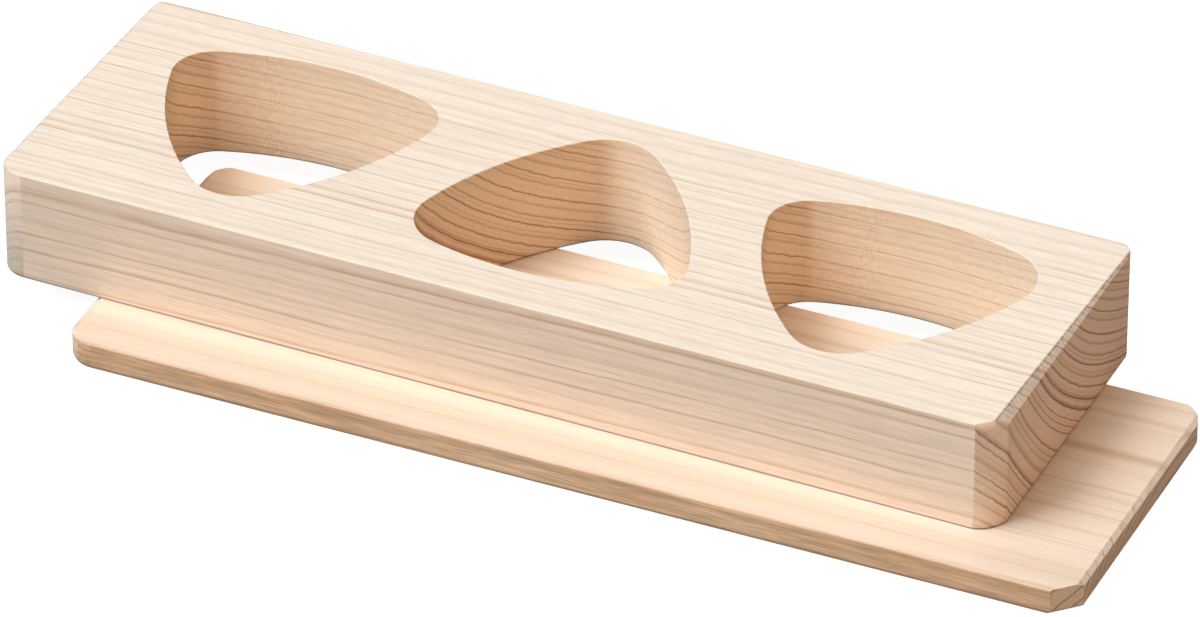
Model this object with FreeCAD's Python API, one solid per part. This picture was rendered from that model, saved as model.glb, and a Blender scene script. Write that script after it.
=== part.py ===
import FreeCAD, Part
import math
import os
from collections import namedtuple

from FreeCAD import Vector

# A wooden mould for triangular rice cakes. A thick block with three through cavities stands on a flat board,
# which closes the cavities from below. The block is lifted straight off the board to free the pressed rice.
# Millimetres, +Z up, +X along the board. The origin is the middle of the board's underside.

# Driving dimensions
BLOCK_LENGTH = 290.0
BLOCK_WIDTH = 95.0
BLOCK_HEIGHT = 32.5
BOARD_LENGTH = 288.0
BOARD_WIDTH = 94.0
BOARD_THICKNESS = 8.0

# How the block lies on the board: its middle, and its turn about Z in degrees
BLOCK_MIDDLE_X = -28.6
BLOCK_MIDDLE_Y = 19.7
BLOCK_TURN = -0.92

# The upright corners were sanded round by hand, so their radii differ. The front right corner of both pieces
# is cut off flat at 45 degrees instead.
BLOCK_FRONT_LEFT_RADIUS = 8.5
BLOCK_REAR_LEFT_RADIUS = 5.0
BLOCK_REAR_RIGHT_RADIUS = 5.5
BOARD_FRONT_LEFT_RADIUS = 8.5
BOARD_REAR_LEFT_RADIUS = 8.0
BOARD_REAR_RIGHT_RADIUS = 9.0
CORNER_CUT = 6.6

# Planed bevels. Those across the ends are wider than they are deep.
EASED_EDGE = 0.35
BLOCK_REAR_BEVEL = 0.8
BLOCK_END_BEVEL_RUN = 1.8
BLOCK_END_BEVEL_DROP = 1.25
BLOCK_UNDER_BEVEL = 0.2
BOARD_REAR_BEVEL = 1.0
BOARD_END_BEVEL_RUN = 1.4
BOARD_END_BEVEL_DROP = 0.9
BOARD_UNDER_BEVEL = 1.4

# The block's right end was sawn a little out of square, so the block is shorter at the rear, and its bevel was
# planed at a slant, so it is wider in front. reach is the sawn face's distance from the Z axis, bevel_reach is
# the same for the bevel's outer edge, and the turns are their headings in degrees.
RightEnd = namedtuple("RightEnd", "reach turn bevel_reach bevel_turn")
BLOCK_RIGHT_END = RightEnd(reach=144.35, turn=0.85, bevel_reach=144.57, bevel_turn=-0.65)
BOARD_RIGHT_END = RightEnd(reach=144.0, turn=0.0, bevel_reach=144.0, bevel_turn=0.0)

# The cavity's outline is a triangle with three bulging sides and round corners, drawn with its long side
# towards +Y and its tip towards -Y, about its own middle
BASE_CORNER_X = 27.0
BASE_CORNER_Y = 18.4
BASE_CORNER_RADIUS = 11.6
TIP_Y = -19.9
TIP_RADIUS = 14.5
SIDE_RADIUS = 95.0
UPPER_RIM_BEVEL = 0.25
LOWER_RIM_BEVEL = 0.8

# Each cavity's middle along and across the block, its turn in degrees, and how much larger the radius of its
# right base corner is. The middle cavity points the other way, which lets the three sit closer. They were
# milled by hand, so no two are quite the same.
Cavity = namedtuple("Cavity", "along across turn rounder")
CAVITIES = (
    Cavity(along=-85.7, across=1.4, turn=0.8, rounder=0.4),
    Cavity(along=3.1, across=1.6, turn=182.3, rounder=2.6),
    Cavity(along=89.1, across=1.0, turn=-1.4, rounder=3.2),
)

# A rounder corner still touches the same two sides, so its centre moves inwards as its radius grows
CENTRE_SHIFT = Vector(-1.2, -0.75, 0)

Z_AXIS = Vector(0, 0, 1)
CENTRE = Vector(0, 0, 0)


def upright_edge(solid, x_side, y_side):
    """The upright edge in the corner where x and y have the given signs."""
    upright = [edge for edge in solid.Edges if abs(edge.tangentAt(edge.FirstParameter).z) > 0.5]
    return max(upright, key=lambda edge: edge.CenterOfMass.x * x_side + edge.CenterOfMass.y * y_side)


def level_edges(solid, level):
    """The edges that lie in the horizontal plane at this height."""
    return [
        edge for edge in solid.Edges
        if abs(edge.CenterOfMass.z - level) < 0.01 and abs(edge.tangentAt(edge.FirstParameter).z) < 0.5
    ]


def plane_off(solid, heading, reach, level, run, drop, rising):
    """Plane a bevel off the edge where a face looking along heading meets the level plane.

    reach is the face's distance from the Z axis, run and drop are the bevel's width and depth, and rising is
    1 for an upper edge and -1 for a lower one.
    """
    spare = 4.0
    half = (BLOCK_LENGTH + BLOCK_WIDTH) / 2
    inner = Vector(reach - run * (1 + spare), -half, level + drop * spare * rising)
    outer = Vector(reach + run * spare, -half, inner.z)
    low = Vector(outer.x, -half, level - drop * (1 + spare) * rising)
    wedge = Part.Face(Part.makePolygon([inner, outer, low, inner])).extrude(Vector(0, 2 * half, 0))
    wedge.rotate(CENTRE, Z_AXIS, heading)
    return solid.cut(wedge)


def saw_off(bar, heading, reach):
    """Saw upright through the bar, and drop what lies further out along heading than reach."""
    half = BLOCK_LENGTH / 2
    waste = Part.makeBox(half, 2 * half, 2 * half, Vector(reach, -half, -half))
    waste.rotate(CENTRE, Z_AXIS, heading)
    return bar.cut(waste)


def saw_front_right_corner(bar, length, width, under_bevel):
    """Cut the corner off flat, and plane the cut's lower edge."""
    heading = -45.0
    reach = (length / 2 + width / 2 - CORNER_CUT) / math.sqrt(2)
    return plane_off(saw_off(bar, heading, reach), heading, reach, 0, under_bevel, under_bevel, -1)


def planed_bar(length, width, height, radii, rear_bevel, end_bevel_run, end_bevel_drop, under_bevel, right_end):
    """A bar of wood centred on the Z axis and standing on z = 0, with softened corners and planed edges.

    radii are those of the front left, rear left and rear right corners.
    """
    bar = Part.makeBox(length, width, height, Vector(-length / 2, -width / 2, 0))
    if right_end.turn:
        bar = saw_off(bar, right_end.turn, right_end.reach)
    for radius, x_side, y_side in zip(radii, (-1, -1, 1), (-1, 1, 1)):
        bar = bar.makeFillet(radius, [upright_edge(bar, x_side, y_side)])
    bar = bar.makeChamfer(EASED_EDGE, level_edges(bar, height))
    bar = bar.makeChamfer(under_bevel, level_edges(bar, 0))
    bar = plane_off(bar, 90, width / 2, height, rear_bevel, rear_bevel, 1)
    for heading, reach in ((180, length / 2), (right_end.bevel_turn, right_end.bevel_reach)):
        bar = plane_off(bar, heading, reach, height, end_bevel_run, end_bevel_drop, 1)
    return saw_front_right_corner(bar, length, width, under_bevel)


def side_centre(first, first_radius, second, second_radius):
    """The centre of the side arc that encloses two corner circles and touches both, going clockwise."""
    to_first = SIDE_RADIUS - first_radius
    to_second = SIDE_RADIUS - second_radius
    line = second - first
    span = line.Length
    along = (to_first ** 2 - to_second ** 2 + span ** 2) / (2 * span)
    away = math.sqrt(to_first ** 2 - along ** 2)
    line.normalize()
    inward = Vector(line.y, -line.x, 0)
    return first + line * along + inward * away


def on_circle(centre, through, radius):
    """The point of a circle about centre that lies towards through."""
    direction = through - centre
    direction.normalize()
    return centre + direction * radius


def arc_about(centre, start, end):
    """The short arc about centre from start to end, as an edge."""
    radius = (start - centre).Length
    middle = on_circle(centre, (start + end) * 0.5, radius)
    return Part.Arc(start, middle, end).toShape()


def cavity_outline(rounder):
    """The closed outline of a cavity: three side arcs joined by three corner arcs."""
    right = Vector(BASE_CORNER_X, BASE_CORNER_Y, 0) + CENTRE_SHIFT * rounder
    corners = [
        (Vector(-BASE_CORNER_X, BASE_CORNER_Y, 0), BASE_CORNER_RADIUS),
        (right, BASE_CORNER_RADIUS + rounder),
        (Vector(0, TIP_Y, 0), TIP_RADIUS),
    ]
    sides = []
    for index, (centre, radius) in enumerate(corners):
        next_centre, next_radius = corners[(index + 1) % 3]
        middle = side_centre(centre, radius, next_centre, next_radius)
        leaves = on_circle(middle, centre, SIDE_RADIUS)
        meets = on_circle(middle, next_centre, SIDE_RADIUS)
        sides.append((middle, leaves, meets))
    edges = []
    for index, (middle, leaves, meets) in enumerate(sides):
        edges.append(arc_about(middle, leaves, meets))
        edges.append(arc_about(corners[(index + 1) % 3][0], meets, sides[(index + 1) % 3][1]))
    return Part.Wire(edges)


def rim_edges(block, level):
    """The arcs of the cavities' rims at this height."""
    return [
        edge for edge in level_edges(block, level)
        if abs(edge.CenterOfMass.x) < BLOCK_LENGTH / 2 - 2 * CORNER_CUT
        and abs(edge.CenterOfMass.y) < BLOCK_WIDTH / 2 - CORNER_CUT
    ]


def mould_block():
    """The block: planed all round, pierced by the three cavities, then laid on the board."""
    block = planed_bar(
        BLOCK_LENGTH, BLOCK_WIDTH, BLOCK_HEIGHT,
        (BLOCK_FRONT_LEFT_RADIUS, BLOCK_REAR_LEFT_RADIUS, BLOCK_REAR_RIGHT_RADIUS),
        BLOCK_REAR_BEVEL, BLOCK_END_BEVEL_RUN, BLOCK_END_BEVEL_DROP, BLOCK_UNDER_BEVEL, BLOCK_RIGHT_END,
    )
    for cavity in CAVITIES:
        hollow = Part.Face(cavity_outline(cavity.rounder)).extrude(Vector(0, 0, BLOCK_HEIGHT))
        hollow.rotate(CENTRE, Z_AXIS, cavity.turn)
        hollow.translate(Vector(cavity.along, cavity.across, 0))
        block = block.cut(hollow)
    block = block.makeChamfer(UPPER_RIM_BEVEL, rim_edges(block, BLOCK_HEIGHT))
    block = block.makeChamfer(LOWER_RIM_BEVEL, rim_edges(block, 0))
    block.rotate(CENTRE, Z_AXIS, BLOCK_TURN)
    block.translate(Vector(BLOCK_MIDDLE_X, BLOCK_MIDDLE_Y, BOARD_THICKNESS))
    return block


def base_board():
    """The flat board, centred on the origin."""
    return planed_bar(
        BOARD_LENGTH, BOARD_WIDTH, BOARD_THICKNESS,
        (BOARD_FRONT_LEFT_RADIUS, BOARD_REAR_LEFT_RADIUS, BOARD_REAR_RIGHT_RADIUS),
        BOARD_REAR_BEVEL, BOARD_END_BEVEL_RUN, BOARD_END_BEVEL_DROP, BOARD_UNDER_BEVEL, BOARD_RIGHT_END,
    )


os.makedirs("parts", exist_ok=True)
for name, solid in (("mould_block", mould_block()), ("base_board", base_board())):
    print(name, "valid:", solid.isValid(), "volume cm3:", round(solid.Volume / 1000, 1))
    solid.exportStep("parts/" + name + ".step")
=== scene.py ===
# %% [markdown]
# # A wooden mould for three triangular rice cakes
#
# The object is two pieces of pale softwood: a thick block with three rounded-triangle cavities cut
# right through, and a thin flat board under it. The block isn't fixed. It is lifted off the board to
# free the pressed rice. Everything here is built round the measured model of the same two pieces, in
# metres, with +Z up.

# %% Load the measured model
import bmesh
import bpy
import math
from mathutils import Matrix, Vector


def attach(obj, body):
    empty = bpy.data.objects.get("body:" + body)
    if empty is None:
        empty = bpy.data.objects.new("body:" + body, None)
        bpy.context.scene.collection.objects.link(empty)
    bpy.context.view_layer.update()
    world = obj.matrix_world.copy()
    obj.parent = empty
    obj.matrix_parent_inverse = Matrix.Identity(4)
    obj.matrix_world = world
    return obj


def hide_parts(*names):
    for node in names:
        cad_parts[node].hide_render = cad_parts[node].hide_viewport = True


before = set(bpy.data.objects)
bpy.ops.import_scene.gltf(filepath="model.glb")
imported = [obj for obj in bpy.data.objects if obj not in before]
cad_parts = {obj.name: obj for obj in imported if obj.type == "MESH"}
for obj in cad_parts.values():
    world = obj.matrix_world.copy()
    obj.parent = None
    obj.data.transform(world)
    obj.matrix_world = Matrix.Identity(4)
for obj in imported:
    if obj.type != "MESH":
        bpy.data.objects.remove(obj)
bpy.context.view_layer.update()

# %% [markdown]
# ## The camera
#
# The picture was taken from far away with a long lens, so the long edges of the block stay almost
# parallel. A short lens nearer by would make its right end bulge. The lens, distance and angles below
# were worked out from the edges of the block and the board, whose corners are all right angles.

# %% Camera
CAMERA_AZIMUTH = math.radians(24.13)
CAMERA_ELEVATION = math.radians(33.55)
CAMERA_ROLL = math.radians(0.10)
CAMERA_DISTANCE = 2.486
CAMERA_LENS = 283.6
CAMERA_TARGET = Vector((-0.0125, 0.0076, 0.020))

towards_camera = Vector((
    math.sin(CAMERA_AZIMUTH) * math.cos(CAMERA_ELEVATION),
    -math.cos(CAMERA_AZIMUTH) * math.cos(CAMERA_ELEVATION),
    math.sin(CAMERA_ELEVATION),
))
camera_data = bpy.data.cameras.new("camera")
camera_data.lens = CAMERA_LENS
camera_data.clip_end = 100.0
camera = bpy.data.objects.new("camera", camera_data)
bpy.context.scene.collection.objects.link(camera)
camera.location = CAMERA_TARGET + towards_camera * CAMERA_DISTANCE
look = towards_camera.to_track_quat("Z", "Y").to_matrix().to_4x4()
camera.rotation_euler = (look @ Matrix.Rotation(CAMERA_ROLL, 4, "Z")).to_euler()
bpy.context.scene.camera = camera
print("camera at, m:", [round(value, 3) for value in camera.location])

# %% [markdown]
# ## Small helpers for node trees
#
# A material here is a chain of small sums on a point's place in the wood. A few helpers keep that
# readable: they add a node, plug a number or another node's output into a socket, add a sum, a soft
# step, a blend or a noise.

# %% Node helpers
def add_node(tree, kind, **settings):
    node = tree.nodes.new(kind)
    for key, value in settings.items():
        setattr(node, key, value)
    return node


def plug(tree, socket, value):
    if isinstance(value, bpy.types.NodeSocket):
        tree.links.new(value, socket)
    else:
        socket.default_value = value


def sum_of(tree, operation, *values, clamp=False):
    node = add_node(tree, "ShaderNodeMath", operation=operation, use_clamp=clamp)
    for socket, value in zip(node.inputs, values):
        plug(tree, socket, value)
    return node.outputs[0]


def product(tree, first, *others):
    for other in others:
        first = sum_of(tree, "MULTIPLY", first, other)
    return first


def total(tree, first, *others):
    for other in others:
        first = sum_of(tree, "ADD", first, other)
    return first


def ramp(tree, value, low, high, from_value=0.0, to_value=1.0):
    """A soft step: from_value up to low, to_value from high on."""
    node = add_node(tree, "ShaderNodeMapRange", interpolation_type="SMOOTHSTEP")
    for socket, number in zip(node.inputs, (value, low, high, from_value, to_value)):
        plug(tree, socket, number)
    return node.outputs["Result"]


def blend_colours(tree, amount, first, second, kind="MIX"):
    node = add_node(tree, "ShaderNodeMix", data_type="RGBA", blend_type=kind)
    plug(tree, node.inputs[0], amount)
    plug(tree, node.inputs[6], first)
    plug(tree, node.inputs[7], second)
    return node.outputs[2]


def noise(tree, place, stretch, seed, detail=2.0):
    """A noise from -0.5 to 0.5 whose blobs are about stretch millimetres long along x, y and z."""
    mapping = add_node(tree, "ShaderNodeMapping", vector_type="POINT")
    plug(tree, mapping.inputs["Vector"], place)
    mapping.inputs["Scale"].default_value = [1 / length for length in stretch]
    mapping.inputs["Location"].default_value = (seed, seed * 0.7, seed * 1.3)
    texture = add_node(tree, "ShaderNodeTexNoise", noise_dimensions="3D")
    texture.inputs["Scale"].default_value = 1.0
    texture.inputs["Detail"].default_value = detail
    tree.links.new(mapping.outputs[0], texture.inputs["Vector"])
    return sum_of(tree, "SUBTRACT", texture.outputs["Fac"], 0.5)


def grey_of(tree, value):
    node = add_node(tree, "ShaderNodeCombineColor")
    for socket in node.inputs:
        plug(tree, socket, value)
    return node.outputs[0]


# %% [markdown]
# ## Wood as a solid
#
# A plank is cut from a trunk, and its lines are the trunk's growth rings seen wherever a face happens
# to cut them. A flat picture wrapped round the block would break at every edge. So the material asks
# each point one question: how far is it from the heart of the tree? That distance alone gives nested
# tubes, and every face, bevel and cavity wall cuts the same tubes, so the lines run over the edges as
# they do in real wood.
#
# Each ring starts pale in spring and ends in a thin dark line in autumn, then jumps back to pale. The
# years differ: some leave a hard line and some hardly any. Between the lines lie the fibres, short pale
# and dark dashes that all run along the plank.

# %% Place in the wood
SLOW_WANDER = {"stretch": (110, 60, 60), "reach": 2.0}
QUICK_WANDER = {"stretch": (22, 30, 30), "reach": 0.5}
RAGGED_EDGE = {"stretch": (70, 2.6, 2.6), "reach": 0.8}
TO_MM = 1000


def wood_place(tree, turn, middle):
    """A point's place in the wood's own axes, in millimetres."""
    where = add_node(tree, "ShaderNodeTexCoord").outputs["Object"]
    to_wood = Matrix.Rotation(-turn, 3, "Z") * TO_MM
    mapping = add_node(tree, "ShaderNodeMapping", vector_type="POINT")
    mapping.inputs["Scale"].default_value = (TO_MM, TO_MM, TO_MM)
    mapping.inputs["Rotation"].default_value = (0, 0, -turn)
    mapping.inputs["Location"].default_value = -(to_wood @ Vector(middle))
    tree.links.new(where, mapping.inputs["Vector"])
    return mapping.outputs[0]


def wander(tree, place, pattern, seed):
    return product(tree, noise(tree, place, pattern["stretch"], seed), pattern["reach"])


def heart_distance(tree, place, grain):
    """How far a point is from the heart, in millimetres, along rings that aren't quite round."""
    split = add_node(tree, "ShaderNodeSeparateXYZ")
    tree.links.new(place, split.inputs[0])
    along, across, up = split.outputs
    rise = sum_of(tree, "MULTIPLY", along, grain["climb"])
    from_heart_y = sum_of(tree, "SUBTRACT", across, grain["heart"][0])
    from_heart_z = sum_of(tree, "SUBTRACT", sum_of(tree, "SUBTRACT", up, grain["heart"][1]), rise)
    squares = total(
        tree, sum_of(tree, "POWER", from_heart_y, 2), sum_of(tree, "POWER", from_heart_z, 2)
    )
    radius = sum_of(tree, "SQRT", squares)
    slow = wander(tree, place, SLOW_WANDER, grain["seed"])
    quick = wander(tree, place, QUICK_WANDER, grain["seed"] + 5)
    ragged = wander(tree, place, RAGGED_EDGE, grain["seed"] + 7)
    return total(tree, radius, slow, quick, ragged)


# %% [markdown]
# The distance becomes a count of years, and some years were lean, so the rings stand closer there. The
# fraction of a year tells the season. White noise on the whole year tells how hard that year's line is.
# A dry summer leaves a weaker second line. A few rings stand out in the whole piece, so they are named
# by their distance from the heart.

# %% Growth rings
LEAN_YEARS_PACE = 0.55
LEAN_YEARS_REACH = 0.9
LINE_STARTS = (0.50, 0.74)
LINE_FULL = 0.95
LINE_ENDS = 0.955
FAINTEST_LINE = 0.45
SHARPNESS = 1.1
PAUSE_RISES = (0.30, 0.42)
PAUSE_FADES = (0.42, 0.52)
PAUSE_YEARS = (0.2, 0.9)
STRONGEST_PAUSE = 0.45
HARD_RING_CORE = 0.10
HARD_RING_EDGE = 0.42


def year_count(tree, radius, grain):
    """How many years of growth lie between a point and the first dark line, going outwards."""
    grown = sum_of(tree, "SUBTRACT", radius, grain["first_ring"])
    years = sum_of(tree, "DIVIDE", grown, grain["ring_gap"])
    lean_years = add_node(tree, "ShaderNodeTexNoise", noise_dimensions="1D")
    lean_years.inputs["Scale"].default_value = LEAN_YEARS_PACE
    lean_years.inputs["Detail"].default_value = 0.0
    plug(tree, lean_years.inputs["W"], total(tree, years, grain["seed"] * 10))
    lean = sum_of(tree, "SUBTRACT", lean_years.outputs["Fac"], 0.5)
    return total(tree, years, product(tree, lean, LEAN_YEARS_REACH))


def autumn_lines(tree, radius, grain):
    """Thin dark lines, one a year, as hard or as faint as its year was, and a dry spell's line between."""
    years = year_count(tree, radius, grain)
    season = sum_of(tree, "FRACT", years)
    year = sum_of(tree, "FLOOR", years)
    luck = add_node(tree, "ShaderNodeTexWhiteNoise", noise_dimensions="1D")
    plug(tree, luck.inputs["W"], year)
    onset = ramp(tree, luck.outputs["Value"], 0.0, 1.0, *LINE_STARTS)
    line = product(tree, ramp(tree, season, onset, LINE_FULL), ramp(tree, season, LINE_ENDS, 1.0, 1.0, 0.0))
    hardness = ramp(tree, luck.outputs["Value"], 0, 1, FAINTEST_LINE, 1.0)
    line = product(tree, sum_of(tree, "POWER", line, SHARPNESS), hardness)
    pause = product(tree, ramp(tree, season, *PAUSE_RISES), ramp(tree, season, *PAUSE_FADES, 1.0, 0.0))
    pause = product(tree, pause, ramp(tree, luck.outputs["Color"], *PAUSE_YEARS, 0.0, STRONGEST_PAUSE))
    line = sum_of(tree, "MAXIMUM", line, pause)
    for ring in grain["hard_rings"]:
        distance = sum_of(tree, "ABSOLUTE", sum_of(tree, "SUBTRACT", radius, ring))
        hard_line = ramp(tree, distance, HARD_RING_CORE, HARD_RING_EDGE, 1.0, 0.0)
        line = sum_of(tree, "MAXIMUM", line, hard_line)
    return line


# %% [markdown]
# Sawn across, the open tubes of the wood drink the light, so end grain is darker and redder than the
# side of the fibres, and its lines are harder. An attribute named end_grain_and_painted_light on the
# mesh says how squarely each face cuts the fibres, and it is much smaller on faces turned to the left,
# towards the lamps, which is painted light. The walls of the cavities were milled, not planed: another
# attribute, milled, is 1 there. They are a little warmer, and where the cutter shook it left faint
# upright ticks, told by an attribute named chatter. The upright faces are tinted a touch warmer than
# the top, which is painted warm bounce light: the attribute upright is 1 there.

# %% Wood colours
SIDE_PALE = (0.885, 0.765, 0.635, 1.0)
SIDE_LINE = (0.590, 0.400, 0.250, 1.0)
END_PALE = (0.698, 0.519, 0.390, 1.0)
END_LINE = (0.240, 0.115, 0.055, 1.0)
MILLED_LINE = (0.380, 0.180, 0.075, 1.0)
MILLED_OPENS = 0.75
MILLED_SIDE_TINT = (1.10, 1.05, 0.96, 1.0)
MILLED_END_TINT = (1.10, 1.09, 1.00, 1.0)
# this brown also darkens two bands on the board as painted shade
BAND_AND_SHADE_BROWN = (0.520, 0.270, 0.120, 1.0)


def toned(colour, tone):
    return [value * share for value, share in zip(colour, (*tone, 1.0))]


def attribute(tree, name):
    return add_node(tree, "ShaderNodeAttribute", attribute_name=name).outputs["Fac"]


# %% [markdown]
# Three marks belong to single places: bands of browner growth that wander along the plank, two of which
# on the board are also painted shade, a painted shade at the very foot of each piece, where it meets what
# it stands on, and the bevel across the right end, where the plane tore the open fibres and left a ragged
# dark line at the upper crease. All lengths are in millimetres.

# %% Bands, painted foot shade and torn bevel
BAND_WANDER = {"stretch": (90, 400, 400), "reach": 5.0}
BAND_WANDER_SEED = 31.0
BAND_FRAY = 1.2
# painted shade: the very foot of each piece is darkened where it meets the board or the floor
PAINTED_FOOT_SHADE_DARK_TO = 0.25
PAINTED_FOOT_SHADE_GONE_AT = 0.75
PAINTED_FOOT_SHADE_DEPTH = 0.42
NICKS_STRETCH = (2.5, 0.6, 2.5)
NICKS_SEED = 41.0
BEVEL_REACH_DOWN = (3.0, 2.8)
BEVEL_BLEND = 0.2
CREASE_HALF_WIDTH = (0.1, 0.45)
CREASE_EVEN = 0.9
CREASE_NICKED = 2.5
TORN_EVEN = 0.4
TORN_NICKED = (0.25, 1.2)


def brown_bands_and_painted_shade(tree, place, bands, streaks):
    """Bands of browner growth along the plank, given by their middle across it, half width and strength. On
    the board two of them are also painted shade.
    """
    split = add_node(tree, "ShaderNodeSeparateXYZ")
    tree.links.new(place, split.inputs[0])
    drift = wander(tree, place, BAND_WANDER, BAND_WANDER_SEED)
    across = total(tree, split.outputs[1], drift, product(tree, streaks, BAND_FRAY))
    amount = 0.0
    for middle, half_width, strength in bands:
        distance = sum_of(tree, "ABSOLUTE", sum_of(tree, "SUBTRACT", across, middle))
        amount = sum_of(tree, "MAXIMUM", amount, ramp(tree, distance, 0.0, half_width, strength, 0.0))
    return amount


def painted_foot_shade(tree, place):
    """1, and less at the very foot of the piece: painted shade where it meets the board or the floor."""
    split = add_node(tree, "ShaderNodeSeparateXYZ")
    tree.links.new(place, split.inputs[0])
    return ramp(tree, split.outputs[2], PAINTED_FOOT_SHADE_DARK_TO, PAINTED_FOOT_SHADE_GONE_AT, PAINTED_FOOT_SHADE_DEPTH, 1.0)


def torn_end(tree, place, upright, crease):
    """1, and less on the right end's bevel and along its upper crease."""
    crease_along, slant, crease_up, strength = crease
    split = add_node(tree, "ShaderNodeSeparateXYZ")
    tree.links.new(place, split.inputs[0])
    along, across, up = split.outputs
    low, full = [crease_up - down for down in BEVEL_REACH_DOWN]
    high = product(tree, ramp(tree, up, low, full), sum_of(tree, "SUBTRACT", 1.0, upright))
    nicks = noise(tree, place, NICKS_STRETCH, NICKS_SEED)
    beyond = sum_of(tree, "SUBTRACT", along, total(tree, product(tree, across, slant), crease_along))
    line = ramp(tree, sum_of(tree, "ABSOLUTE", beyond), *CREASE_HALF_WIDTH, strength, 0.0)
    line = product(tree, line, total(tree, CREASE_EVEN, product(tree, nicks, CREASE_NICKED)))
    nicked = TORN_NICKED[0] + strength * TORN_NICKED[1]
    torn = total(tree, strength * TORN_EVEN, product(tree, nicks, nicked))
    torn = product(tree, torn, ramp(tree, beyond, 0.0, BEVEL_BLEND))
    return sum_of(tree, "SUBTRACT", 1.0, product(tree, high, total(tree, line, torn)))


# %% [markdown]
# Now the parts come together. A pale colour is crossed by the autumn lines, once for the side of the
# fibres and once for end grain, and the attribute end_grain_and_painted_light blends the two, so faces
# turned to the left lamps are painted paler. Streaks, fibres and pores then shade it. Where a shade
# below is a pair, it gives the strength on the side of the fibres and on end grain. The same patterns
# also lift and lower the surface by a few hundredths of a millimetre.

# %% Softwood material
STREAKS_STRETCH = (26, 1.1, 1.1)
FIBRES_STRETCH = (9, 0.45, 0.45)
PORES_STRETCH = (0.6, 0.35, 0.35)
BLOTCHES_STRETCH = (80, 28, 28)
TICKS_STRETCH = (0.55, 0.8, 1.8)
STREAKS_SHADE = (0.24, 0.08)
FIBRES_SHADE = (0.34, 0.08)
PORES_SHADE = (0.02, 0.40)
BLOTCHES_SHADE = 0.06
TICKS_SHADE = 0.55
STREAKS_THAT_BREAK_LINES = (-0.22, 0.12)
BROKEN_LINE = 0.25
END_CUT_FROM = 0.12
END_CUT_FULL = 1.02
PORES_HEIGHT = (0.2, 0.9)
FIBRES_HEIGHT = 0.8
LINES_HEIGHT = 0.5
BUMP_STRENGTH = 0.5
BUMP_DEPTH = 0.00006
ROUGHNESS = (0.62, 0.50)
SPECULAR = 0.30


def wood_height(tree, autumn, fibres, pores, end_cut_and_painted_light):
    return total(
        tree, product(tree, autumn, LINES_HEIGHT), product(tree, fibres, FIBRES_HEIGHT),
        product(tree, pores, ramp(tree, end_cut_and_painted_light, 0, 1, *PORES_HEIGHT)),
    )


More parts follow.
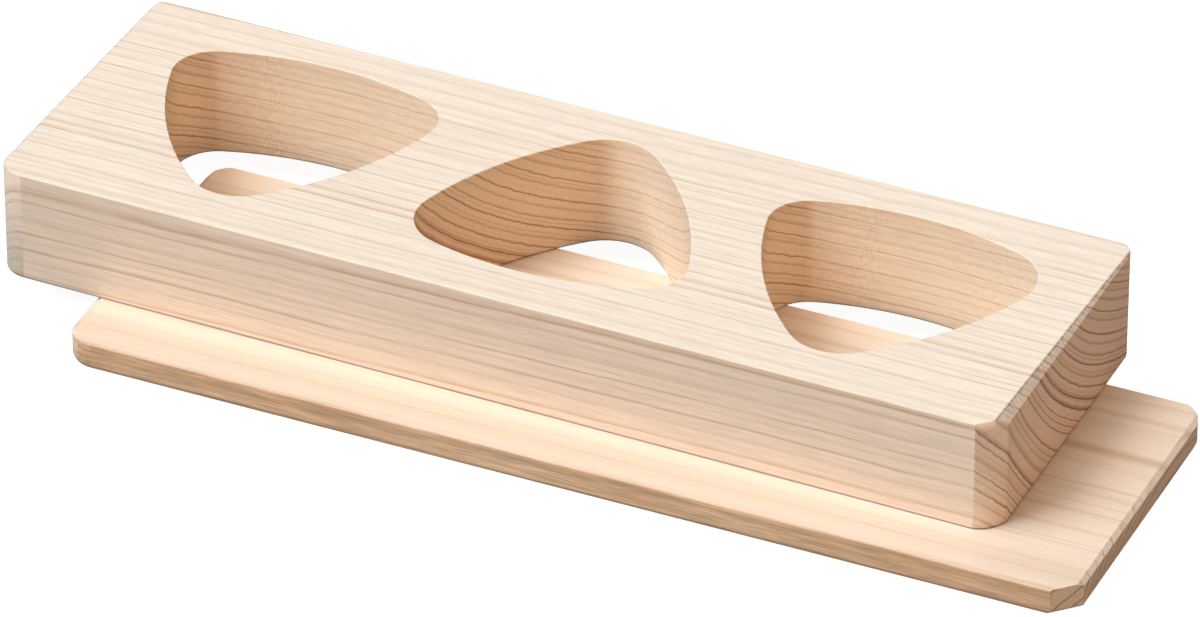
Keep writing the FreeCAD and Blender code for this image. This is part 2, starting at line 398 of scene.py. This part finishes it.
def softwood(name, turn, middle, **grain):
    """Straight-grained pale softwood.

    turn and middle place the wood's own axes in the object; heart is the trunk's heart across the plank, in
    millimetres; ring_gap is a year's growth; climb is how much the grain rises along the plank; tone and
    end_tone shade it, and upright_tint tints its upright faces warmer as painted warm bounce
    light; contrast is how strong the lines are and streaky how streaky it is, on the level and on the
    upright faces; crease is where the right end's bevel starts along the plank, how much it slants, its
    height, and how torn the bevel is; hard_rings are years of very dark wood, by their distance from the
    heart; bands are its brown bands, some of which also paint shade.
    """
    material = bpy.data.materials.new(name)
    material.use_nodes = True
    tree = material.node_tree
    shader = tree.nodes["Principled BSDF"]
    seed = grain["seed"]

    place = wood_place(tree, turn, middle)
    autumn = autumn_lines(tree, heart_distance(tree, place, grain), grain)
    milled = attribute(tree, "milled")
    upright = attribute(tree, "upright")
    # painted light: faces turned to the left lamps count as far less end grain, so they are coloured paler
    opening = total(tree, product(tree, milled, MILLED_OPENS), 1.0)
    opened_and_painted_light = product(tree, attribute(tree, "end_grain_and_painted_light"), opening)
    end_cut_and_painted_light = ramp(tree, opened_and_painted_light, END_CUT_FROM, END_CUT_FULL)

    streaks = noise(tree, place, STREAKS_STRETCH, seed + 11)
    fibres = noise(tree, place, FIBRES_STRETCH, seed + 13)
    pores = noise(tree, place, PORES_STRETCH, seed + 17)
    blotches = noise(tree, place, BLOTCHES_STRETCH, seed + 23)
    ticks = noise(tree, place, TICKS_STRETCH, seed + 29)

    broken = ramp(tree, streaks, *STREAKS_THAT_BREAK_LINES, BROKEN_LINE, 1.0)
    side_pale = toned(SIDE_PALE, grain["tone"])
    end_pale = toned(END_PALE, grain["end_tone"])
    contrast = ramp(tree, upright, 0, 1, *grain["contrast"])
    side = blend_colours(tree, product(tree, autumn, broken, contrast), side_pale, SIDE_LINE)
    side = blend_colours(tree, brown_bands_and_painted_shade(tree, place, grain["bands"], streaks), side, BAND_AND_SHADE_BROWN)
    end_line = blend_colours(tree, milled, END_LINE, MILLED_LINE)
    end = blend_colours(tree, autumn, end_pale, end_line)
    colour = blend_colours(tree, end_cut_and_painted_light, side, end)
    milled_tint = blend_colours(tree, end_cut_and_painted_light, MILLED_SIDE_TINT, MILLED_END_TINT)
    # painted warm bounce light: upright faces are tinted warmer than the top
    tint = blend_colours(tree, upright, (1, 1, 1, 1), (*grain["upright_tint"], 1.0))
    tint = blend_colours(tree, milled, tint, milled_tint)
    colour = blend_colours(tree, 1.0, colour, tint, kind="MULTIPLY")

    streaky = ramp(tree, upright, 0, 1, *grain["streaky"])
    shade = total(
        tree, 1.0,
        product(tree, streaks, ramp(tree, end_cut_and_painted_light, 0, 1, *STREAKS_SHADE), streaky),
        product(tree, fibres, ramp(tree, end_cut_and_painted_light, 0, 1, *FIBRES_SHADE), streaky),
        product(tree, pores, ramp(tree, end_cut_and_painted_light, 0, 1, *PORES_SHADE)),
        product(tree, blotches, BLOTCHES_SHADE),
        product(tree, ticks, attribute(tree, "chatter"), TICKS_SHADE),
    )
    torn = torn_end(tree, place, upright, grain["crease"])
    shade = product(tree, shade, painted_foot_shade(tree, place), torn)
    colour = blend_colours(tree, 1.0, colour, grey_of(tree, shade), kind="MULTIPLY")
    tree.links.new(colour, shader.inputs["Base Color"])

    bump = add_node(tree, "ShaderNodeBump")
    bump.inputs["Strength"].default_value = BUMP_STRENGTH
    bump.inputs["Distance"].default_value = BUMP_DEPTH
    tree.links.new(wood_height(tree, autumn, fibres, pores, end_cut_and_painted_light), bump.inputs["Height"])
    tree.links.new(bump.outputs[0], shader.inputs["Normal"])

    tree.links.new(ramp(tree, autumn, 0, 1, *ROUGHNESS), shader.inputs["Roughness"])
    shader.inputs["Specular IOR Level"].default_value = SPECULAR
    return material


# %% [markdown]
# ## Planing a bar of wood
#
# Both pieces start as a plain sawn bar. Three of its upright corners were sanded round by hand, each a
# little differently, and the front right one was cut off flat. Every long edge is eased a little, and
# both ends have a wider planed bevel. One helper does what a plane does: it slices the bar, throws the
# outer part away and closes the cut with a flat face. That way each bevel is exact and meets its
# neighbours as real ones do.

# %% Planing helpers
MM = 0.001
EASED_EDGE = 0.35 * MM
CORNER_CUT = 6.6 * MM
CORNER_SEGMENTS = 24
EASED_SEGMENTS = 2
SAME_PLACE = 1e-7
SAME_LEVEL = 1e-6


def slice_off(bar, point, outward):
    """Cut the bar with a plane, drop what lies outward of it and close the cut."""
    everything = bar.verts[:] + bar.edges[:] + bar.faces[:]
    cut = bmesh.ops.bisect_plane(
        bar, geom=everything, dist=SAME_PLACE, plane_co=point, plane_no=outward, clear_outer=True
    )
    rim = [item for item in cut["geom_cut"] if isinstance(item, bmesh.types.BMEdge)]
    bmesh.ops.contextual_create(bar, geom=rim)


def heading(angle):
    return Vector((math.cos(angle), math.sin(angle), 0))


def edge_direction(edge):
    return (edge.verts[0].co - edge.verts[1].co).normalized()


def upright_edges(bar):
    return [edge for edge in bar.edges if abs(edge_direction(edge).z) > 0.9]


def is_level(item, level):
    """Whether an edge or a face lies in the horizontal plane at this height."""
    return all(abs(vert.co.z - level) < SAME_LEVEL for vert in item.verts)


def level_edges(bar, level):
    return [edge for edge in bar.edges if is_level(edge, level)]


def soften(bar, edges, offset, segments):
    bmesh.ops.bevel(
        bar, geom=edges, offset=offset, offset_type="OFFSET", segments=segments,
        profile=0.5, affect="EDGES", material=-1,
    )


def round_corner(bar, x_side, y_side, radius):
    corner = max(
        upright_edges(bar), key=lambda edge: edge.verts[0].co.x * x_side + edge.verts[0].co.y * y_side
    )
    soften(bar, [corner], radius, CORNER_SEGMENTS)


# %% [markdown]
# The saw didn't always cut square. So the right end is told by four values: reach is how far its face
# lies from the Z axis and turn is its heading, and bevel_reach and bevel_turn are the same for its
# bevel's outer edge. Where the two headings differ, the bevel is wide at one side and runs out at the
# other.

# %% Plane a bar
NARROW_WIDTH = 2 * MM


def square_end(length):
    return {"reach": length / 2, "turn": 0.0, "bevel_reach": length / 2, "bevel_turn": 0.0}


def planed_bar(length, width, height, radii, rear_bevel, end_run, end_drop, under_bevel, right_end):
    """A closed bar centred on the Z axis, standing on z = 0.

    radii are those of the front left, rear left and rear right corners. The end bevels are end_run wide and
    end_drop deep.
    """
    bar = bmesh.new()
    bmesh.ops.create_cube(bar, size=1.0)
    bmesh.ops.scale(bar, vec=(length, width, height), verts=bar.verts)
    bmesh.ops.translate(bar, vec=(0, 0, height / 2), verts=bar.verts)

    if right_end["turn"]:
        outward = heading(right_end["turn"])
        slice_off(bar, outward * right_end["reach"], outward)
    for radius, x_side, y_side in zip(radii, (-1, -1, 1), (-1, 1, 1)):
        round_corner(bar, x_side, y_side, radius)
    soften(bar, level_edges(bar, height), EASED_EDGE, EASED_SEGMENTS)
    soften(bar, level_edges(bar, 0.0), under_bevel, EASED_SEGMENTS)

    rear = Vector((0, width / 2 - rear_bevel, height))
    slice_off(bar, rear, Vector((0, 1, 1)))
    for turn, reach in ((math.pi, length / 2), (right_end["bevel_turn"], right_end["bevel_reach"])):
        outward = heading(turn)
        inner_edge = outward * (reach - end_run) + Vector((0, 0, height))
        slice_off(bar, inner_edge, outward * end_drop + Vector((0, 0, end_run)))

    outward = heading(math.radians(-45))
    reach = (length / 2 + width / 2 - CORNER_CUT) / math.sqrt(2)
    slice_off(bar, outward * reach, outward)
    slice_off(bar, outward * (reach - under_bevel), outward - Vector((0, 0, 1)))
    bmesh.ops.recalc_face_normals(bar, faces=bar.faces)
    for face in bar.faces:
        upright = abs(face.normal.z) < 0.1
        narrow = face.calc_area() < height * NARROW_WIDTH
        if upright and narrow:
            face.smooth = True
    return bar


# %% [markdown]
# ## One cavity
#
# Seen from above, a cavity is a triangle with three bulging sides and three round corners: six arcs,
# each running smoothly into the next. Spinning a single point about an arc's centre draws that arc.
# Growing every radius by the same amount draws the same outline a little larger, which makes the eased
# rim without any bevel. The cutter was led by hand, so one corner of each cavity is rounder than its
# pattern, and its centre lies further in.

# %% Cavity outline
BASE_CORNER = Vector((27.0, 18.4, 0)) * MM
BASE_CORNER_RADIUS = 11.6 * MM
CENTRE_SHIFT = Vector((-1.2, -0.75, 0))
TIP = Vector((0, -19.9, 0)) * MM
TIP_RADIUS = 14.5 * MM
SIDE_RADIUS = 95.0 * MM
SIDE_STEPS = 18
CORNER_STEPS = 16


def side_centre(first, first_radius, second, second_radius):
    """Where the compass stands to draw the bulging side that encloses two corner circles."""
    line = second - first
    near, far = SIDE_RADIUS - first_radius, SIDE_RADIUS - second_radius
    along = (near ** 2 - far ** 2 + line.length_squared) / (2 * line.length)
    away = math.sqrt(near ** 2 - along ** 2)
    line.normalize()
    return first + line * along + Vector((line.y, -line.x, 0)) * away


def outline_arcs(rounder):
    """Six arcs, clockwise, as centre, start point, turn in radians and number of steps."""
    left = Vector((-BASE_CORNER.x, BASE_CORNER.y, 0))
    right = BASE_CORNER + CENTRE_SHIFT * rounder
    corners = [(left, BASE_CORNER_RADIUS), (right, BASE_CORNER_RADIUS + rounder), (TIP, TIP_RADIUS)]
    sides = []
    for index in range(3):
        first, second = corners[index], corners[(index + 1) % 3]
        centre = side_centre(*first, *second)
        start = centre + (first[0] - centre).normalized() * SIDE_RADIUS
        end = centre + (second[0] - centre).normalized() * SIDE_RADIUS
        sides.append((centre, start, end))
    arcs = []
    for index, (centre, start, end) in enumerate(sides):
        corner = corners[(index + 1) % 3][0]
        after = sides[(index + 1) % 3][1]
        arcs.append((centre, start, (end - centre).angle(start - centre), SIDE_STEPS))
        arcs.append((corner, end, (after - corner).angle(end - corner), CORNER_STEPS))
    return arcs


def draw_outline(rounder, grow, level):
    """The outline as a small mesh at height level: a point spun round six arcs, grown outwards by grow."""
    drawing = bmesh.new()
    first = pen = None
    for centre, start, turn, steps in outline_arcs(rounder):
        if pen is None:
            outward = (start - centre).normalized()
            first = pen = drawing.verts.new(start + outward * grow + Vector((0, 0, level)))
        drawn = bmesh.ops.spin(
            drawing, geom=[pen], cent=centre, axis=(0, 0, -1), angle=turn, steps=steps, use_duplicate=False
        )
        pen = next(item for item in drawn["geom_last"] if isinstance(item, bmesh.types.BMVert))
    bmesh.ops.weld_verts(drawing, targetmap={pen: first})
    outline = bpy.data.meshes.new("outline")
    drawing.to_mesh(outline)
    drawing.free()
    return outline


# %% [markdown]
# ## The block
#
# The bar is planed first, while it is still one closed solid. Then its top and bottom faces are opened,
# the three cavity walls are hung in, and both faces are filled again round the rims. A layer on the
# mesh marks the walls as milled.

# %% Block sizes
BLOCK_LENGTH = 290.0 * MM
BLOCK_WIDTH = 95.0 * MM
BLOCK_HEIGHT = 32.5 * MM
BLOCK_TURN = math.radians(-0.92)
BLOCK_MIDDLE = Vector((-28.6, 19.7, 8.0)) * MM
UPPER_RIM = 0.25 * MM
LOWER_RIM = 0.8 * MM
WALL_STARTS = LOWER_RIM * 1.4
WALL_ENDS = BLOCK_HEIGHT - UPPER_RIM * 2
BLOCK_CORNER_RADII = (8.5 * MM, 5.0 * MM, 5.5 * MM)
BLOCK_RIGHT_END = {
    "reach": 144.35 * MM, "turn": math.radians(0.85),
    "bevel_reach": 144.57 * MM, "bevel_turn": math.radians(-0.65),
}
CHATTER_X = -17.0 * MM
CHATTER_REACH = 7.0 * MM
CAVITIES = (
    {"along": -85.7, "across": 1.4, "turn": 0.8, "rounder": 0.4},
    {"along": 3.1, "across": 1.6, "turn": 182.3, "rounder": 2.6},
    {"along": 89.1, "across": 1.0, "turn": -1.4, "rounder": 3.2},
)


def rim_levels(ease):
    """Growth and depth of a quarter round, from the rim inwards."""
    steps = [math.radians(30 * step) for step in range(4)]
    return [(ease * (1 - math.sin(lift)), ease * (1 - math.cos(lift))) for lift in steps]


def ring_at(mesh, rounder, grow, level):
    """Add one outline to the mesh and return its edges."""
    outline = draw_outline(rounder, grow, level)
    before = set(mesh.edges)
    mesh.from_mesh(outline)
    bpy.data.meshes.remove(outline)
    return [edge for edge in mesh.edges if edge not in before]


def hang_cavity(mesh, cavity):
    """Hang one cavity's wall in the mesh. Returns its upper and lower rim."""
    grown = [(grow, level) for grow, level in rim_levels(LOWER_RIM)]
    grown += [(0.0, WALL_STARTS), (0.0, BLOCK_HEIGHT / 2), (0.0, WALL_ENDS)]
    grown += [(grow, BLOCK_HEIGHT - level) for grow, level in reversed(rim_levels(UPPER_RIM))]
    before = set(mesh.verts)
    rings = [ring_at(mesh, cavity["rounder"] * MM, grow, level) for grow, level in grown]
    milled = mesh.faces.layers.float["milled"]
    for lower, upper in zip(rings, rings[1:]):
        bridged = bmesh.ops.bridge_loops(mesh, edges=lower + upper)
        for face in bridged["faces"]:
            face.smooth = True
            face[milled] = 1.0
    fresh = [vert for vert in mesh.verts if vert not in before]
    chatter = mesh.verts.layers.float["chatter"]
    for vert in fresh:
        behind = vert.co.y > 0
        vert[chatter] = behind * max(0.0, 1 - abs(vert.co.x - CHATTER_X) / CHATTER_REACH)
    turn = Matrix.Rotation(math.radians(cavity["turn"]), 3, "Z")
    bmesh.ops.rotate(mesh, verts=fresh, cent=(0, 0, 0), matrix=turn)
    bmesh.ops.translate(mesh, verts=fresh, vec=Vector((cavity["along"], cavity["across"], 0)) * MM)
    return rings[-1], rings[0]


def open_face(mesh, level):
    """Take away the flat face at this height and return the edges round the opening."""
    flat = [face for face in mesh.faces if is_level(face, level)]
    face = max(flat, key=lambda face: face.calc_area())
    edges = list(face.edges)
    bmesh.ops.delete(mesh, geom=[face], context="FACES_ONLY")
    return edges


# %% [markdown]
# The front right corner was cut by hand. Its right crease is rubbed soft, and towards the foot the flat
# swells out by a good millimetre, where the blade ran out of the wood. The flat is divided into a fine
# grid and its points are pushed outwards, most in the middle and at the foot.

# %% Shape the sawn corner
SWELL = 1.3 * MM
SWELL_COLUMNS = 8
SWELL_ROWS = 10
SWELL_GATHERS = 1.6
SAME_HEADING = 0.01


def faces_along(mesh, outward):
    return [face for face in mesh.faces if (face.normal - outward).length < SAME_HEADING]


def divide(mesh, faces, point, across):
    """Cut these faces along a plane, and keep both sides."""
    geometry = faces + list({edge for face in faces for edge in face.edges})
    geometry += list({vert for face in faces for vert in face.verts})
    bmesh.ops.bisect_plane(mesh, geom=geometry, dist=SAME_PLACE, plane_co=point, plane_no=across)


def swell_corner(mesh):
    outward = heading(math.radians(-45))
    aside = heading(math.radians(45))
    reach = (BLOCK_LENGTH / 2 + BLOCK_WIDTH / 2 - CORNER_CUT) / math.sqrt(2)
    middle = (BLOCK_LENGTH / 2 - BLOCK_WIDTH / 2) / math.sqrt(2)
    half = CORNER_CUT / math.sqrt(2)
    for column in range(1, SWELL_COLUMNS):
        point = outward * reach + aside * (middle - half + 2 * half * column / SWELL_COLUMNS)
        divide(mesh, faces_along(mesh, outward), point, aside)
    for row in range(1, SWELL_ROWS):
        point = outward * reach + Vector((0, 0, BLOCK_HEIGHT * row / SWELL_ROWS))
        divide(mesh, faces_along(mesh, outward), point, (0, 0, 1))
    flat = faces_along(mesh, outward)
    moved = 0
    for vert in {vert for face in flat for vert in face.verts}:
        across = (vert.co.dot(aside) - middle) / half
        depth = 1 - vert.co.z / BLOCK_HEIGHT
        push = SWELL * max(0.0, 1 - across ** 2) * depth ** SWELL_GATHERS
        vert.co += outward * push
        moved += push > 0
    for face in flat:
        face.smooth = True
    print("points pushed out at the sawn corner:", moved)


# %% [markdown]
# The material asks each face how it was cut. Faces that look to the left, towards the lamps, are marked
# as much less open than the right end, which is painted light: end grain turned to the light is coloured
# paler. Each finished piece takes the place of a measured one and moves with the same body.

# %% Mark and name a piece
# painted light: end grain turned to the left, towards the lamps, keeps only this share of its darker colour
PAINTED_LIGHT_END_GRAIN_SHARE = 0.2


def end_grain_painted_lit_of(normal):
    """How openly a face with this normal cuts the fibres, which run along X. Faces turned to the left,
    towards the lamps, get a smaller share, which is painted light.
    """
    return normal.x if normal.x > 0 else -normal.x * PAINTED_LIGHT_END_GRAIN_SHARE


def mark_faces(mesh):
    """Write how openly each face corner cuts the fibres, with painted light making faces turned to the left
    paler, and which faces stand upright.
    """
    end_grain_and_painted_light = mesh.attributes.new("end_grain_and_painted_light", "FLOAT", "CORNER")
    end_grain_and_painted_light.data.foreach_set("value", [end_grain_painted_lit_of(normal.vector) for normal in mesh.corner_normals])
    upright = mesh.attributes.new("upright", "FLOAT", "FACE")
    upright.data.foreach_set("value", [float(abs(face.normal.z) < 0.5) for face in mesh.polygons])


def make_piece(name, solid, material):
    mesh = bpy.data.meshes.new(name)
    solid.to_mesh(mesh)
    solid.free()
    mesh.materials.append(material)
    mark_faces(mesh)
    piece = bpy.data.objects.new(name, mesh)
    bpy.context.scene.collection.objects.link(piece)
    print(name, "faces:", len(mesh.polygons))
    return piece


# %% [markdown]
# With every helper ready, the block is planed, pierced, closed and shaped, and only then turned and
# laid on the board. The trunk's heart lay above it and behind, so the rings sag across the right end
# like hammocks.

# %% Build the block
block = planed_bar(
    BLOCK_LENGTH, BLOCK_WIDTH, BLOCK_HEIGHT, radii=BLOCK_CORNER_RADII,
    rear_bevel=0.8 * MM, end_run=1.8 * MM, end_drop=1.25 * MM, under_bevel=0.2 * MM,
    right_end=BLOCK_RIGHT_END,
)
block.faces.layers.float.new("milled")
block.verts.layers.float.new("chatter")
top_edges = open_face(block, BLOCK_HEIGHT)
under_edges = open_face(block, 0.0)
for cavity in CAVITIES:
    upper_rim, lower_rim = hang_cavity(block, cavity)
    top_edges += upper_rim
    under_edges += lower_rim
bmesh.ops.triangle_fill(block, use_beauty=True, edges=top_edges)
bmesh.ops.triangle_fill(block, use_beauty=True, edges=under_edges)
bmesh.ops.recalc_face_normals(block, faces=block.faces)
swell_corner(block)
bmesh.ops.rotate(block, verts=block.verts, cent=(0, 0, 0), matrix=Matrix.Rotation(BLOCK_TURN, 3, "Z"))
bmesh.ops.translate(block, verts=block.verts, vec=BLOCK_MIDDLE)

block_wood = softwood(
    "planed_block_wood", BLOCK_TURN, BLOCK_MIDDLE, heart=(76.6, 105.2), ring_gap=2.8,
    first_ring=144.6, climb=0.009, seed=3.0, tone=(1, 1, 1), end_tone=(1, 1, 1),
    upright_tint=(1.08, 1.02, 0.97), contrast=(0.75, 0.80), streaky=(0.95, 0.9),
    crease=(142.78, 0.0113, 32.5, 0.4),
    hard_rings=(145.4, 122.4, 119.6), bands=(),
)
block_piece = make_piece("mould_block_finish", block, block_wood)
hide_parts("mould_block")
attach(block_piece, "block")

# %% [markdown]
# ## The board
#
# The same planing makes the thin board. The trunk's heart lay below it, so the rings cross its face
# broadly over the heart and crowd together towards the front edge. A few browner bands run along it as
# well. Two of them are also painted shade: the wide one darkens the front strip before the block, and
# the one at 16.5 is deepened to darken the board beside the block's right end. Each band is told by its
# middle across the board, its half width, both in millimetres, and its strength.

# %% Build the board
BOARD_LENGTH = 288.0 * MM
BOARD_WIDTH = 94.0 * MM
BOARD_THICKNESS = 8.0 * MM
BOARD_CORNER_RADII = (8.5 * MM, 8.0 * MM, 9.0 * MM)

BOARD_BANDS_AND_PAINTED_SHADE = (
    (-48.0, 3.2, 0.55),
    # painted shade: this wide band darkens the front strip of the board before the block
    (-39.0, 10.0, 0.20),
    (-27.0, 0.8, 0.20),
    (-20.0, 0.7, 0.16),
    (-11.5, 0.8, 0.26),
    (-7.5, 0.7, 0.18),
    (0.5, 0.8, 0.30),
    # partly a real brown band, and partly painted shade: deepened to darken the board beside the block's
    # right end
    (16.5, 3.2, 0.50),
    (34.0, 2.0, 0.26),
)

board = planed_bar(
    BOARD_LENGTH, BOARD_WIDTH, BOARD_THICKNESS, radii=BOARD_CORNER_RADII,
    rear_bevel=1.0 * MM, end_run=1.4 * MM, end_drop=0.9 * MM, under_bevel=1.4 * MM,
    right_end=square_end(BOARD_LENGTH),
)
board_wood = softwood(
    "planed_board_wood", 0.0, (0, 0, 0), heart=(20.0, -62.0), ring_gap=3.1,
    first_ring=70.5, climb=0.004, seed=8.0, tone=(0.96, 0.91, 0.875), end_tone=(0.85, 0.93, 1.0),
    upright_tint=(1.12, 1.01, 0.85), contrast=(0.40, 0.90), streaky=(0.35, 2.6),
    crease=(142.6, 0.0, 8.0, 0.0),
    hard_rings=(), bands=BOARD_BANDS_AND_PAINTED_SHADE,
)
board_piece = make_piece("base_board_finish", board, board_wood)
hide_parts("base_board")
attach(board_piece, "board")

# %% [markdown]
# ## Floor, background and lamps
#
# The floor is a plain pale one that looks white, and only a faint shadow shows on it. It glows for the
# camera alone and throws little light back, or the undersides and the cavities would lose their shade.

# %% Floor
FLOOR_SIZE = 12.0
FLOOR_COLOUR = (0.30, 0.30, 0.30, 1.0)
FLOOR_ROUGHNESS = 0.9
FLOOR_GLOW = 0.94

floor_mesh = bmesh.new()
bmesh.ops.create_grid(floor_mesh, x_segments=1, y_segments=1, size=FLOOR_SIZE / 2)
floor_data = bpy.data.meshes.new("floor")
floor_mesh.to_mesh(floor_data)
floor_mesh.free()
floor = bpy.data.objects.new("floor", floor_data)
bpy.context.scene.collection.objects.link(floor)

floor_material = bpy.data.materials.new("pale_floor")
floor_material.use_nodes = True
tree = floor_material.node_tree
shader = tree.nodes["Principled BSDF"]
shader.inputs["Base Color"].default_value = FLOOR_COLOUR
shader.inputs["Roughness"].default_value = FLOOR_ROUGHNESS
shader.inputs["Specular IOR Level"].default_value = 0.0
rays = add_node(tree, "ShaderNodeLightPath")
shader.inputs["Emission Color"].default_value = (1, 1, 1, 1)
glow = sum_of(tree, "MULTIPLY", rays.outputs["Is Camera Ray"], FLOOR_GLOW)
tree.links.new(glow, shader.inputs["Emission Strength"])
floor_data.materials.append(floor_material)
print("floor, m across:", FLOOR_SIZE)

# %% [markdown]
# Beyond the floor the camera sees pure white. The wood sees a dim sky there, which softens the deepest
# shade.

# %% Background
SKY_COLOUR = (0.95, 0.97, 1.0, 1.0)
SKY_STRENGTH = 0.03

world = bpy.data.worlds.new("studio")
world.use_nodes = True
bpy.context.scene.world = world
tree = world.node_tree
sky = tree.nodes["Background"]
sky.inputs["Color"].default_value = SKY_COLOUR
sky.inputs["Strength"].default_value = SKY_STRENGTH
white = add_node(tree, "ShaderNodeBackground")
white.inputs["Strength"].default_value = 1.0
rays = add_node(tree, "ShaderNodeLightPath")
choose = add_node(tree, "ShaderNodeMixShader")
tree.links.new(rays.outputs["Is Camera Ray"], choose.inputs[0])
tree.links.new(sky.outputs[0], choose.inputs[1])
tree.links.new(white.outputs[0], choose.inputs[2])
tree.links.new(choose.outputs[0], tree.nodes["World Output"].inputs["Surface"])

# %% [markdown]
# Two large soft lamps stand on the left in front, a cool one half way up and a warmer one high above
# it. A third, weaker and warm, fills in from the right. They leave the right end the darkest side. Each
# lamp is told by the direction it shines from, how wide it looks, its colour and its strength.

# %% Lamps
LAMPS = (
    {
        "name": "left_lamp", "from": Vector((-0.527, -0.369, 0.766)), "softness": math.radians(36),
        "colour": (0.744, 0.852, 1.0), "strength": 2.24,
    },
    {
        "name": "high_lamp", "from": Vector((-0.280, -0.196, 0.940)), "softness": math.radians(36),
        "colour": (1.0, 0.947, 0.857), "strength": 1.53,
    },
    {
        "name": "right_lamp", "from": Vector((0.750, -0.433, 0.500)), "softness": math.radians(50),
        "colour": (1.0, 0.793, 0.635), "strength": 1.31,
    },
)
for values in LAMPS:
    lamp_data = bpy.data.lights.new(values["name"], "SUN")
    lamp_data.energy = values["strength"]
    lamp_data.color = values["colour"]
    lamp_data.angle = values["softness"]
    lamp = bpy.data.objects.new(values["name"], lamp_data)
    bpy.context.scene.collection.objects.link(lamp)
    lamp.rotation_euler = values["from"].to_track_quat("Z", "Y").to_euler()
bpy.context.scene.view_settings.view_transform = "Standard"
print("lamps:", len(LAMPS))
